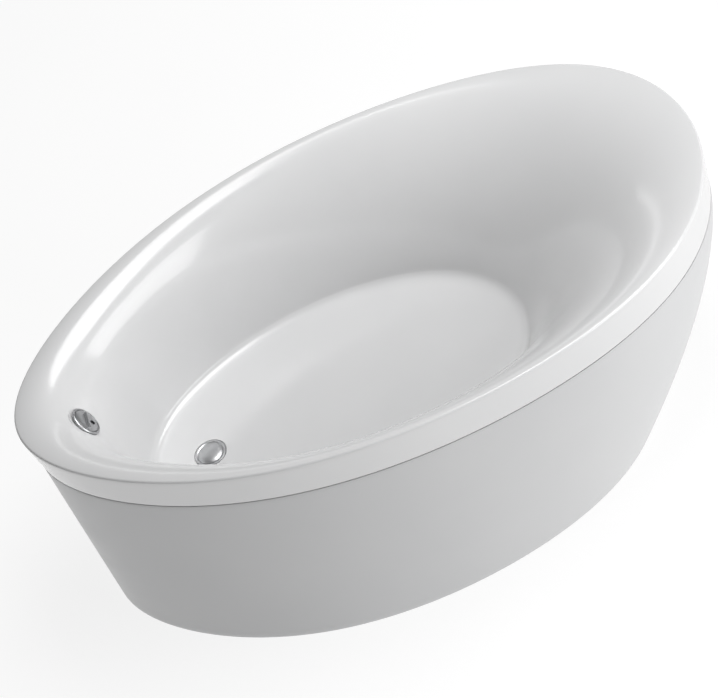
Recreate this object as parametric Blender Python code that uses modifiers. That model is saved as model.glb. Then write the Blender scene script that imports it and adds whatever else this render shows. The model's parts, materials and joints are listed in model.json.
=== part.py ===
"""A freestanding oval bathtub with its skirt, levelling feet, pop-up waste and rotary overflow.

Run it with blender --background --python part.py, or from Blender's text editor. Lengths are metres.
+X points to the head end, +Z up, and the origin is on the floor under the middle of the rim's outline.
"""

from math import atan2, cos, pi, radians, sin

import bmesh
import bpy
from mathutils import Matrix, Vector

# Overall sizes
LENGTH = 1.80
WIDTH = 1.07
HEIGHT = 0.66

# Rim outline: an egg that is fuller toward the head end
RIM_EGG = 0.072
RIM_CROWN = 0.125
EDGE_RADIUS = 0.006
LIP_HEIGHT = 0.110
LIP_DRAFT = 0.0135

# Basin
SHELL_WALL = 0.006
BASIN_DEPTH = 0.3565
FLOOR_X = -0.162
FLOOR_LENGTH = 1.017
FLOOR_WIDTH = 0.649
FLOOR_EGG = 0.05
DISH_DEPTH = 0.014
DISH_WIDTH = 0.060
ROLL_HEAD = 0.230
ROLL_SIDE = 0.085
ROLL_FOOT = 0.180
WALL_ANGLE_HEAD = radians(52)
WALL_ANGLE_SIDE = radians(80)
WALL_ANGLE_FOOT = radians(76)
WALL_PULL = 0.16

# Skirt
SKIRT_WALL = 0.005
SKIRT_OFF_FLOOR = 0.002
SKIRT_CURVE = 1.43
BASE_X = -0.150
BASE_LENGTH = 1.470
BASE_WIDTH = 0.957
SEAM = 0.0030
STRIP_SET_BACK = 0.0015
STRIP_DEPTH = 0.003
PLATE_THICKNESS = 0.003
PLATE_BED = 0.0012
PLATE_COUNT = 6
PLATE_HEIGHT = 0.070

# Support frame
BOARD_THICKNESS = 0.015
BOARD_X = -0.090
BOARD_LENGTH = 0.660
BOARD_WIDTH = 0.440
RAIL_SECTION = 0.030
RAIL_WALL = 0.002
RAIL_LENGTH = 0.600
RAIL_X = {"foot_end": -0.330, "head_end": 0.150}
FOOT_Y = 0.260
RAIL_SCREW_Y = 0.150
RAIL_SCREW_RADIUS = 0.003
ROD_RADIUS = 0.006
ROD_SPARE = 0.014
PAD_RADIUS = 0.030
PAD_HEIGHT = 0.020
PAD_SOCKET = 0.010
NUT_CORNER = 0.0110
NUT_HEIGHT = 0.010

# Waste and overflow
WASTE_X = -0.516
HOLE_RADIUS = 0.026
SEAT_CLEAR = 0.002
SEAT_DEPTH = 0.005
BOSS_WALL = 0.003
BOSS_DEPTH = 0.012
FLANGE_RADIUS = 0.041
NECK_RADIUS = 0.0245
NECK_BORE = 0.0215
PLUG_RADIUS = 0.033
BODY_RADIUS = 0.034
BODY_WALL = 0.003
BODY_DEPTH = 0.066
PORT_DEPTH = 0.045
PORT_RADIUS = 0.018
PIPE_RADIUS = 0.0145
PIPE_WALL = 0.0015
TAIL_RADIUS = 0.0225
TAIL_DEPTH = 0.105
TRAP_RADIUS = 0.043
TRAP_DEPTH = 0.195
OUTLET_DEPTH = 0.132
OUTLET_RADIUS = 0.019
LEVER_REACH = 0.022
LEVER_ANGLE = radians(12.5)
ROLLER_RADIUS = 0.003
STEM_RADIUS = 0.004
STEM_END = 0.052
OVERFLOW_DROP = 0.080
ELBOW_RADIUS = 0.0335
ELBOW_DEPTH = 0.050
GLAND_OFFSET = 0.020
GLAND_LENGTH = 0.012
CABLE_RADIUS = 0.0025

# Fits
GAP = 0.0003
RUNNING = 0.0004

# Mesh fineness
AROUND = 56
TURNS_SEEN = 28
TURNS_HIDDEN = 20
WALL_STEPS = 9
SKIRT_STEPS = 7

FLOOR_Z = HEIGHT - BASIN_DEPTH
FLOOR_UNDER = FLOOR_Z - SHELL_WALL
SEAM_TOP = HEIGHT - LIP_HEIGHT
SEAM_BOTTOM = SEAM_TOP - SEAM
SEAT_RADIUS = FLANGE_RADIUS + SEAT_CLEAR
COURSE = (SEAM_BOTTOM - SKIRT_OFF_FLOOR) / SKIRT_STEPS
BOARD_TOP = FLOOR_UNDER - GAP
BOARD_UNDER = BOARD_TOP - BOARD_THICKNESS
RAIL_TOP = BOARD_UNDER - GAP
RAIL_UNDER = RAIL_TOP - RAIL_SECTION


def clear_scene():
    for item in list(bpy.data.objects):
        bpy.data.objects.remove(item, do_unlink=True)


def new_collection(name, hidden=False):
    collection = bpy.data.collections.new(name)
    collection.hide_render = hidden
    bpy.context.scene.collection.children.link(collection)
    return collection


def new_material(name, colour, roughness, metallic=0.0):
    material = bpy.data.materials.new(name)
    material.use_nodes = True
    shader = material.node_tree.nodes["Principled BSDF"]
    shader.inputs["Base Color"].default_value = (*colour, 1.0)
    shader.inputs["Roughness"].default_value = roughness
    shader.inputs["Metallic"].default_value = metallic
    return material


clear_scene()
PARTS = new_collection("freestanding_bathtub")
CUTTERS = new_collection("cutters", hidden=True)
ACRYLIC = new_material("gloss_white_acrylic", (0.86, 0.86, 0.86), 0.12)
SKIRT_WHITE = new_material("satin_white_acrylic", (0.82, 0.82, 0.82), 0.3)
CHROME = new_material("chrome", (0.78, 0.78, 0.78), 0.1, 1.0)
STEEL = new_material("zinc_plated_steel", (0.6, 0.61, 0.63), 0.4, 1.0)
RUBBER = new_material("black_rubber", (0.03, 0.03, 0.03), 0.8)
GREY_PLASTIC = new_material("grey_plastic", (0.42, 0.43, 0.45), 0.5)
WHITE_PLASTIC = new_material("white_plastic", (0.75, 0.75, 0.73), 0.45)
BOARD = new_material("chipboard", (0.5, 0.36, 0.2), 0.85)
BRASS = new_material("brass", (0.72, 0.5, 0.22), 0.3, 1.0)


# ---------------------------------------------------------------- helpers


def add_object(name, data, material):
    item = bpy.data.objects.new(name, data)
    if material is None:
        CUTTERS.objects.link(item)
        item.hide_render = True
        item.display_type = "WIRE"
    else:
        PARTS.objects.link(item)
        data.materials.append(material)
    return item


def mesh_from(bm, name):
    mesh = bpy.data.meshes.new(name)
    bmesh.ops.recalc_face_normals(bm, faces=bm.faces)
    bm.to_mesh(mesh)
    bm.free()
    mesh.shade_smooth()
    mesh.set_sharp_from_angle(angle=radians(35))
    return mesh


def turned(name, profile, material, turns=TURNS_HIDDEN, closed=True):
    """A turned piece from (radius, height) points that run down the outer side."""
    mesh = bpy.data.meshes.new(name)
    points = [(radius, 0.0, height) for radius, height in profile]
    edges = [(i, i + 1) for i in range(len(points) - 1)]
    if closed:
        edges.append((len(points) - 1, 0))
    mesh.from_pydata(points, edges, [])
    item = add_object(name, mesh, material)
    screw = item.modifiers.new("turn", "SCREW")
    screw.axis = "Z"
    screw.angle = 2 * pi
    screw.steps = turns
    screw.render_steps = turns
    screw.use_merge_vertices = True
    screw.merge_threshold = 0.00001
    screw.use_smooth_shade = True
    return item


def washer(name, inner, outer, low, high, material, turns=TURNS_HIDDEN):
    profile = [(outer, high), (outer, low), (inner, low), (inner, high)]
    return turned(name, profile, material, turns)


def cylinder(name, radius, low, high, material=None, turns=TURNS_HIDDEN):
    bm = bmesh.new()
    bmesh.ops.create_cone(bm, cap_ends=True, segments=turns, radius1=radius, radius2=radius, depth=high - low)
    bmesh.ops.translate(bm, verts=bm.verts, vec=(0, 0, (low + high) / 2))
    return add_object(name, mesh_from(bm, name), material)


def box(name, size, material=None):
    bm = bmesh.new()
    bmesh.ops.create_cube(bm, size=1.0)
    bmesh.ops.scale(bm, verts=bm.verts, vec=size)
    return add_object(name, mesh_from(bm, name), material)


def place(item, frame):
    item.matrix_world = frame
    return item


def combine(item, other, operation):
    step = item.modifiers.new(operation.lower(), "BOOLEAN")
    step.operation = operation
    step.object = other
    step.solver = "EXACT"


def smooth_route(points, steps):
    """Points along a smooth curve that passes through all of the given ones."""
    knots = [Vector(p) for p in points]
    padded = [2 * knots[0] - knots[1], *knots, 2 * knots[-1] - knots[-2]]
    route = []
    for i in range(1, len(padded) - 2):
        a, b, c, d = padded[i - 1 : i + 3]
        for k in range(steps):
            t = k / steps
            pull = (2 * b + (c - a) * t + (2 * a - 5 * b + 4 * c - d) * t**2 + (3 * b - a - 3 * c + d) * t**3) / 2
            route.append(pull)
    return [*route, knots[-1]]


def tube(name, points, radius, material, fineness=2, capped=True):
    curve = bpy.data.curves.new(name, "CURVE")
    curve.dimensions = "3D"
    curve.bevel_depth = radius
    curve.bevel_resolution = fineness
    curve.use_fill_caps = capped
    line = curve.splines.new("POLY")
    line.points.add(len(points) - 1)
    for spot, point in zip(line.points, points):
        spot.co = (*point, 1.0)
    return add_object(name, curve, material)


def hollow_pipe(name, points, radius, wall, material):
    """A bent pipe, open at both ends."""
    guide = tube(name + "_route", points, radius, material, fineness=3, capped=False)
    bpy.context.view_layer.update()
    mesh = bpy.data.meshes.new_from_object(guide.evaluated_get(bpy.context.evaluated_depsgraph_get()))
    bpy.data.objects.remove(guide, do_unlink=True)
    bm = bmesh.new()
    bm.from_mesh(mesh)
    bmesh.ops.remove_doubles(bm, verts=bm.verts, dist=0.00001)
    bmesh.ops.recalc_face_normals(bm, faces=bm.faces)
    middle = sum((Vector(p) for p in points[:2]), Vector()) / 2
    first = min(bm.faces, key=lambda face: (face.calc_center_median() - middle).length)
    if first.normal.dot(first.calc_center_median() - middle) < 0:
        bmesh.ops.reverse_faces(bm, faces=bm.faces)
    bm.to_mesh(mesh)
    bm.free()
    mesh.name = name
    item = add_object(name, mesh, material)
    shell = item.modifiers.new("pipe_wall", "SOLIDIFY")
    shell.thickness = wall
    shell.offset = -1.0
    return item


def loft(name, rings, material, capped=False, closed=False):
    """Skins the space between rings of equally many points, for a form whose sections are unlike."""
    bm = bmesh.new()
    rows = [[bm.verts.new(point) for point in ring] for ring in rings]
    count = len(rows[0])
    pairs = list(zip(rows, rows[1:]))
    if closed:
        pairs.append((rows[-1], rows[0]))
    for upper, lower in pairs:
        for i in range(count):
            j = (i + 1) % count
            bm.faces.new((upper[j], lower[j], lower[i], upper[i]))
    if capped:
        bm.faces.new(rows[-1])
    mesh = bpy.data.meshes.new(name)
    bm.normal_update()
    bm.to_mesh(mesh)
    bm.free()
    mesh.shade_smooth()
    mesh.set_sharp_from_angle(angle=radians(35))
    return add_object(name, mesh, material)


# ---------------------------------------------------------------- outlines


def egg(angle, centre, length, width, fullness, crown):
    """A point of an egg outline whose broad end points to +X."""
    c, s = cos(angle), sin(angle)
    samples = [pi * k / 180 for k in range(181)]
    widest = max(sin(a) * (1 + fullness * cos(a) + crown * cos(a) ** 3) for a in samples)
    return Vector((centre + length / 2 * c, width / 2 * s * (1 + fullness * c + crown * c**3) / widest))


def rim_point(angle, inset=0.0):
    return egg(angle, 0.0, LENGTH - 2 * inset, WIDTH - 2 * inset, RIM_EGG, RIM_CROWN)


def floor_point(angle, inset=0.0):
    return egg(angle, FLOOR_X, FLOOR_LENGTH - 2 * inset, FLOOR_WIDTH - 2 * inset, FLOOR_EGG, 0.0)


def skirt_point(angle, height):
    """A point on the outside of the skirt at this height."""
    share = (SEAM_BOTTOM - height) / (SEAM_BOTTOM - SKIRT_OFF_FLOOR)
    taper = max(share, 0.0) ** SKIRT_CURVE
    top_length = LENGTH - 2 * LIP_DRAFT
    top_width = WIDTH - 2 * LIP_DRAFT
    length = top_length + (BASE_LENGTH - top_length) * taper
    width = top_width + (BASE_WIDTH - top_width) * taper
    return egg(angle, BASE_X * taper, length, width, RIM_EGG, RIM_CROWN)


def by_end(angle, head, side, foot):
    """Blends a size that differs at the head end, the sides and the foot end."""
    c = cos(angle)
    weight = c * c
    return side + ((head if c > 0 else foot) - side) * weight


def bezier(t, a, b, c, d):
    u = 1 - t
    return u**3 * a + 3 * u * u * t * b + 3 * u * t * t * c + t**3 * d


def wall_at(angle, t):
    """A point of the basin wall, from the rim (t = 0) down to the floor's edge (t = 1)."""
    start = rim_point(angle, EDGE_RADIUS)
    end = floor_point(angle)
    reach = (end - start).length
    depth = BASIN_DEPTH - DISH_DEPTH
    lean = by_end(angle, WALL_ANGLE_HEAD, WALL_ANGLE_SIDE, WALL_ANGLE_FOOT)
    roll = by_end(angle, ROLL_HEAD, ROLL_SIDE, ROLL_FOOT)
    across = bezier(t, 0.0, roll, reach - WALL_PULL * cos(lean), reach)
    down = bezier(t, 0.0, 0.0, depth - WALL_PULL * sin(lean), depth)
    spot = start.lerp(end, across / reach)
    return Vector((spot.x, spot.y, HEIGHT - down))


def ring(point_at):
    return [point_at(2 * pi * k / AROUND) for k in range(AROUND)]


def lip_ring(height, inset):
    return ring(lambda angle: (*rim_point(angle, inset), height))


def lip_rings():
    rings = []
    for share in (1.0, 0.5, 0.0):
        height = HEIGHT - EDGE_RADIUS - (LIP_HEIGHT - EDGE_RADIUS) * share
        rings.append(lip_ring(height, LIP_DRAFT * share))
    for turn in (radians(35), radians(65)):
        height = HEIGHT - EDGE_RADIUS * (1 - sin(turn))
        rings.append(lip_ring(height, EDGE_RADIUS * (1 - cos(turn))))
    return rings


def floor_rings():
    rings = []
    for share, drop in ((0.12, 0.6), (0.4, 0.9), (1.0, 1.0)):
        height = FLOOR_Z + DISH_DEPTH * (1 - drop)
        inset = DISH_WIDTH * share
        rings.append(ring(lambda angle: (*floor_point(angle, inset), height)))
    return rings


def overflow_frame():
    """Where the overflow sits on the foot-end wall: its local +Z points into the basin."""
    low, high = 0.0, 1.0
    for _ in range(40):
        middle = (low + high) / 2
        if HEIGHT - wall_at(pi, middle).z < OVERFLOW_DROP:
            low = middle
        else:
            high = middle
    spot = wall_at(pi, low)
    along = wall_at(pi, low + 0.01) - wall_at(pi, low - 0.01)
    tilt = atan2(-along.z, along.x)
    return Matrix.Translation(spot) @ Matrix.Rotation(tilt, 4, "Y")


OVERFLOW = overflow_frame()
WASTE = Matrix.Translation((WASTE_X, 0, FLOOR_Z))


# ---------------------------------------------------------------- basin and skirt


def make_shell():
    walls = [ring(lambda angle, t=k / WALL_STEPS: wall_at(angle, t)) for k in range(WALL_STEPS + 1)]
    shell = loft("tub_shell", [*lip_rings(), *walls, *floor_rings()], ACRYLIC, capped=True)
    for face in shell.data.polygons:
        face.use_smooth = True
    skin = shell.modifiers.new("wall", "SOLIDIFY")
    skin.thickness = SHELL_WALL
    skin.offset = -1.0
    skin.use_even_offset = True
    boss_radius = SEAT_RADIUS + BOSS_WALL
    front = 0.02
    for title, frame, depth in (("waste", WASTE, SEAT_DEPTH), ("overflow", OVERFLOW, 0.0)):
        middle = -(SHELL_WALL + depth) / 2
        boss = place(cylinder(title + "_boss", boss_radius, -BOSS_DEPTH, middle), frame)
        combine(shell, boss, "UNION")
        seat = place(cylinder(title + "_seat", SEAT_RADIUS, -depth, front), frame)
        combine(shell, seat, "DIFFERENCE")
        back = place(cylinder(title + "_back", boss_radius + BOSS_WALL, -BOSS_DEPTH - front, -BOSS_DEPTH), frame)
        combine(shell, back, "DIFFERENCE")
        hole = place(cylinder(title + "_hole", HOLE_RADIUS, -2 * front, front), frame)
        combine(shell, hole, "DIFFERENCE")


def make_skirt():
    rings = []
    for k in range(SKIRT_STEPS + 1):
        height = SKIRT_OFF_FLOOR + (SEAM_BOTTOM - SKIRT_OFF_FLOOR) * k / SKIRT_STEPS
        rings.append(ring(lambda angle: (*skirt_point(angle, height), height)))
    skirt = loft("skirt_panel", rings, SKIRT_WHITE)
    skin = skirt.modifiers.new("wall", "SOLIDIFY")
    skin.thickness = SKIRT_WALL
    skin.offset = -1.0
    skin.use_even_offset = True


def top_course(angle, height):
    """A point on the flat facet that the skirt's top course makes at this angle."""
    return skirt_point(angle, SEAM_BOTTOM).lerp(skirt_point(angle, SEAM_BOTTOM - COURSE), (SEAM_BOTTOM - height) / COURSE)


def behind_seam(angle, height, depth):
    """A point this far behind the outside of the lip or skirt, near the seam."""
    tiny = 0.001
    if height > SEAM_BOTTOM:
        inset = LIP_DRAFT * (HEIGHT - height) / LIP_HEIGHT
        spot = rim_point(angle, inset)
        side = rim_point(angle + tiny, inset) - rim_point(angle - tiny, inset)
    else:
        spot = top_course(angle, height)
        side = top_course(angle + tiny, height) - top_course(angle - tiny, height)
    inward = Vector((-side.y, side.x)).normalized()
    return (*(spot + inward * depth), height)


def skirt_tilt():
    """The steepest lean of the skirt's top course: its inner top edge rises by this share of its depth."""
    angles = [2 * pi * k / AROUND for k in range(AROUND)]
    return max((skirt_point(a, SEAM_BOTTOM) - skirt_point(a, SEAM_BOTTOM - COURSE)).length for a in angles) / COURSE


def make_seam_strip():
    top = SEAM_TOP - GAP
    low = SEAM_BOTTOM + GAP + (STRIP_SET_BACK + STRIP_DEPTH) * skirt_tilt()
    corners = [
        (top, STRIP_SET_BACK),
        (top, STRIP_SET_BACK + STRIP_DEPTH),
        (low, STRIP_SET_BACK + STRIP_DEPTH),
        (low, STRIP_SET_BACK),
    ]
    rings = [ring(lambda angle, h=h, d=d: behind_seam(angle, h, d)) for h, d in corners]
    loft("seam_strip", rings, RUBBER, closed=True)


def make_joining_plates():
    """Plates bonded behind the seam; each follows the same facets as the lip and skirt in front of it."""
    front = max(SHELL_WALL, SKIRT_WALL) * (1 + skirt_tilt() ** 2) ** 0.5 + PLATE_BED
    low = SEAM_BOTTOM - PLATE_HEIGHT / 2
    high = SEAM_BOTTOM + PLATE_HEIGHT / 2
    for number in range(PLATE_COUNT):
        middle = round(AROUND * (number + 0.5) / PLATE_COUNT)
        angles = [2 * pi * (middle + step) / AROUND for step in (-1, 0, 1)]
        loop = [(angle, front) for angle in angles]
        loop += [(angle, front + PLATE_THICKNESS) for angle in reversed(angles)]
        bm = bmesh.new()
        levels = []
        for height in (low, SEAM_BOTTOM, high):
            levels.append([bm.verts.new(behind_seam(angle, height, depth)) for angle, depth in loop])
        for lower, upper in zip(levels, levels[1:]):
            for i in range(len(loop)):
                j = (i + 1) % len(loop)
                bm.faces.new((lower[i], lower[j], upper[j], upper[i]))
        bm.faces.new(levels[0])
        bm.faces.new(levels[-1])
        name = f"joining_plate_{number + 1}"
        add_object(name, mesh_from(bm, name), WHITE_PLASTIC)


# ---------------------------------------------------------------- support frame


def make_board():
    bm = bmesh.new()
    bmesh.ops.create_cone(bm, cap_ends=True, segments=40, radius1=0.5, radius2=0.5, depth=1.0)
    bmesh.ops.scale(bm, verts=bm.verts, vec=(BOARD_LENGTH, BOARD_WIDTH, BOARD_THICKNESS))
    board = add_object("base_board", mesh_from(bm, "base_board"), BOARD)
    board.location = (BOARD_X, 0, (BOARD_TOP + BOARD_UNDER) / 2)
    return board


def foot_corners():
    for end, x in RAIL_X.items():
        for side, sign in (("left", 1), ("right", -1)):
            yield f"{end}_{side}", end, Vector((x, sign * FOOT_Y, 0)), Vector((x, sign * RAIL_SCREW_Y, 0))


def make_rails(board):
    rails = {}
    for end, x in RAIL_X.items():
        rail = box(f"rail_{end}", (RAIL_SECTION, RAIL_LENGTH, RAIL_SECTION), STEEL)
        rail.location = (x, 0, (RAIL_TOP + RAIL_UNDER) / 2)
        inside = RAIL_SECTION - 2 * RAIL_WALL
        hollow = box(f"hollow_{end}", (inside, RAIL_LENGTH * 1.1, inside))
        hollow.location = rail.location
        combine(rail, hollow, "DIFFERENCE")
        rails[end] = rail
    screw_top = BOARD_UNDER + BOARD_THICKNESS * 0.7
    for corner, end, foot, screw in foot_corners():
        hole = cylinder(f"rod_hole_{corner}", ROD_RADIUS + RUNNING, RAIL_UNDER - 0.01, RAIL_TOP + 0.01, turns=16)
        hole.location = foot
        combine(rails[end], hole, "DIFFERENCE")
        pilot = cylinder(
            f"screw_hole_{corner}", RAIL_SCREW_RADIUS + GAP, RAIL_UNDER - 0.01, screw_top + GAP, turns=12
        )
        pilot.location = screw
        combine(rails[end], pilot, "DIFFERENCE")
        combine(board, pilot, "DIFFERENCE")
        head = RAIL_UNDER - GAP
        wide = RAIL_SCREW_RADIUS * 2
        profile = [
            (0.0, screw_top),
            (RAIL_SCREW_RADIUS, screw_top - RAIL_SCREW_RADIUS),
            (RAIL_SCREW_RADIUS, head),
            (wide, head),
            (wide, head - RAIL_SCREW_RADIUS * 0.6),
            (wide * 0.7, head - RAIL_SCREW_RADIUS),
            (0.0, head - RAIL_SCREW_RADIUS),
        ]
        turned(f"rail_screw_{corner}", profile, STEEL, turns=12, closed=False).location = screw


def make_feet():
    rod_top = FLOOR_UNDER - ROD_SPARE / 2
    rod_bottom = PAD_SOCKET + GAP
    socket = ROD_RADIUS + GAP
    for corner, _, foot, _ in foot_corners():
        chamfer = 0.001
        rod_profile = [
            (0.0, rod_top),
            (ROD_RADIUS - chamfer, rod_top),
            (ROD_RADIUS, rod_top - chamfer),
            (ROD_RADIUS, rod_bottom),
            (0.0, rod_bottom),
        ]
        turned(f"foot_rod_{corner}", rod_profile, STEEL, turns=16, closed=False).location = foot
        pad_profile = [
            (0.0, PAD_SOCKET),
            (socket, PAD_SOCKET),
            (socket, PAD_HEIGHT),
            (socket * 1.7, PAD_HEIGHT),
            (socket * 2.1, PAD_HEIGHT * 0.6),
            (PAD_RADIUS, PAD_HEIGHT * 0.3),
            (PAD_RADIUS, 0.0),
            (0.0, 0.0),
        ]
        turned(f"foot_pad_{corner}", pad_profile, GREY_PLASTIC, turns=16, closed=False).location = foot
        nut = cylinder(
            f"lock_nut_{corner}", NUT_CORNER, RAIL_UNDER - GAP - NUT_HEIGHT, RAIL_UNDER - GAP, STEEL, turns=6
        )
        nut.location = foot
        bore = cylinder(f"nut_bore_{corner}", ROD_RADIUS + RUNNING, 0.1, RAIL_UNDER + 0.01, turns=16)
        bore.location = foot
        combine(nut, bore, "DIFFERENCE")


# ---------------------------------------------------------------- waste


def make_waste_cover():
    recess = -SEAT_DEPTH
    washer("waste_seal", HOLE_RADIUS + 0.0015, FLANGE_RADIUS - 0.003, recess + GAP, recess + GAP + 0.001, RUBBER)
    under = recess + 2 * GAP + 0.001
    lip = PLUG_RADIUS + 0.002
    flange = [
        (FLANGE_RADIUS - 0.0008, 0.0012),
        (FLANGE_RADIUS, 0.0004),
        (FLANGE_RADIUS, under),
        (NECK_RADIUS, under),
        (NECK_RADIUS, -0.022),
        (NECK_BORE, -0.022),
        (NECK_BORE, -0.0016),
        (lip - 0.005, -0.0014),
        (lip, 0.0006),
        (lip + 0.001, 0.0012),
    ]
    turned("waste_flange", flange, CHROME, TURNS_SEEN)
    boss = 0.006
    plug = [
        (0.0, 0.0062),
        (0.012, 0.0058),
        (0.024, 0.0042),
        (PLUG_RADIUS - 0.002, 0.0020),
        (PLUG_RADIUS, 0.0008),
        (PLUG_RADIUS, 0.0003),
        (PLUG_RADIUS - 0.001, -0.0001),
        (PLUG_RADIUS - 0.003, -0.0005),
        (PLUG_RADIUS - 0.004, 0.0010),
        (boss, 0.0010),
        (boss, -boss),
        (0.0, -boss),
    ]
    turned("waste_plug", plug, CHROME, TURNS_SEEN, closed=False)
    washer("plug_seal", NECK_BORE + 0.004, NECK_BORE + 0.0065, -0.0011, 0.0007, RUBBER)
    foot = STEM_RADIUS * 1.75
    stem = [
        (0.0, -boss - GAP),
        (STEM_RADIUS, -boss - GAP),
        (STEM_RADIUS, -STEM_END + 0.003),
        (foot, -STEM_END + 0.002),
        (foot, -STEM_END),
        (0.0, -STEM_END),
    ]
    turned("plug_stem", stem, BRASS, turns=16, closed=False)
    guide = washer("stem_guide", STEM_RADIUS + RUNNING, NECK_BORE - GAP, -0.020, -0.017, WHITE_PLASTIC)
    for name in ("waste_seal", "waste_flange", "waste_plug", "plug_seal", "plug_stem", "stem_guide"):
        place(bpy.data.objects[name], WASTE)
    for number in range(4):
        turn = radians(45 + 90 * number)
        spot = Vector((cos(turn), sin(turn), 0)) * (NECK_BORE + STEM_RADIUS) / 2
        hole = cylinder(f"guide_hole_{number + 1}", 0.005, -0.03, 0.0, turns=12)
        combine(guide, place(hole, WASTE @ Matrix.Translation(spot)), "DIFFERENCE")


def along_x(depth):
    """A frame at the waste whose local +Z runs toward +X, this far under the floor."""
    return WASTE @ Matrix.Translation((0, 0, -depth)) @ Matrix.Rotation(pi / 2, 4, "Y")


def make_waste_body():
    top = -BOSS_DEPTH - GAP
    washer("waste_gasket", HOLE_RADIUS + 0.0015, BODY_RADIUS + 0.003, top - 0.002, top, RUBBER)
    place(bpy.data.objects["waste_gasket"], WASTE)
    top -= 0.002 + GAP
    bore = NECK_RADIUS + 0.0005
    inner = BODY_RADIUS - BODY_WALL
    profile = [
        (BODY_RADIUS + 0.006, top),
        (BODY_RADIUS + 0.006, top - 0.005),
        (BODY_RADIUS, top - 0.009),
        (BODY_RADIUS, -BODY_DEPTH),
        (TAIL_RADIUS, -BODY_DEPTH - 0.008),
        (TAIL_RADIUS, -TAIL_DEPTH),
        (TAIL_RADIUS - BODY_WALL, -TAIL_DEPTH),
        (TAIL_RADIUS - BODY_WALL, -BODY_DEPTH - 0.006),
        (inner, -BODY_DEPTH + 0.002),
        (inner, top - 0.012),
        (bore, top - 0.009),
        (bore, top),
    ]
    body = place(turned("waste_body", profile, WHITE_PLASTIC), WASTE)
    port_end = PORT_RADIUS + 0.044
    sideways = along_x(PORT_DEPTH)
    port = place(cylinder("waste_port", PORT_RADIUS, -port_end, -inner - BODY_WALL / 2), sideways)
    combine(body, port, "UNION")
    bored = place(cylinder("waste_port_bore", PIPE_RADIUS + 0.0005, -port_end - 0.01, -inner + 0.005), sideways)
    combine(body, bored, "DIFFERENCE")
    nut = washer(
        "overflow_nut_low", PORT_RADIUS + GAP, PORT_RADIUS + 0.0055, -port_end - 0.004, -port_end + 0.012, GREY_PLASTIC
    )
    place(nut, sideways)
    return port_end


def make_lifter():
    """The lever inside the waste body that pushes the plug's stem up."""
    roller_z = -STEM_END - GAP - ROLLER_RADIUS
    pivot_z = roller_z + LEVER_REACH * sin(LEVER_ANGLE) / cos(LEVER_ANGLE)
    reach = LEVER_REACH / cos(LEVER_ANGLE)
    pivot = WASTE @ Matrix.Translation((-LEVER_REACH, 0, pivot_z))
    thickness = ROLLER_RADIUS
    lever = box("lifter_lever", (reach, 0.008, thickness), GREY_PLASTIC)
    for vertex in lever.data.vertices:
        vertex.co.x += reach / 2
    place(lever, pivot @ Matrix.Rotation(LEVER_ANGLE, 4, "Y"))
    crosswise = Matrix.Rotation(pi / 2, 4, "X")
    eye = cylinder("lever_eye", ROLLER_RADIUS, -0.004, 0.004, turns=16)
    combine(lever, place(eye, pivot @ crosswise), "UNION")
    roller_frame = WASTE @ Matrix.Translation((0, 0, roller_z)) @ crosswise
    roller = place(cylinder("lever_roller", ROLLER_RADIUS, -0.004, 0.004, turns=16), roller_frame)
    combine(lever, roller, "UNION")
    pin_radius = 0.0015
    hole = cylinder("lever_pin_hole", pin_radius + GAP, -0.006, 0.006, turns=12)
    combine(lever, place(hole, pivot @ crosswise), "DIFFERENCE")
    inner = BODY_RADIUS - BODY_WALL
    half = (inner**2 - (LEVER_REACH + pin_radius) ** 2) ** 0.5 - 2 * GAP
    pin = cylinder("lever_pin", pin_radius, -half, half, STEEL, turns=12)
    place(pin, pivot @ crosswise)


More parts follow.
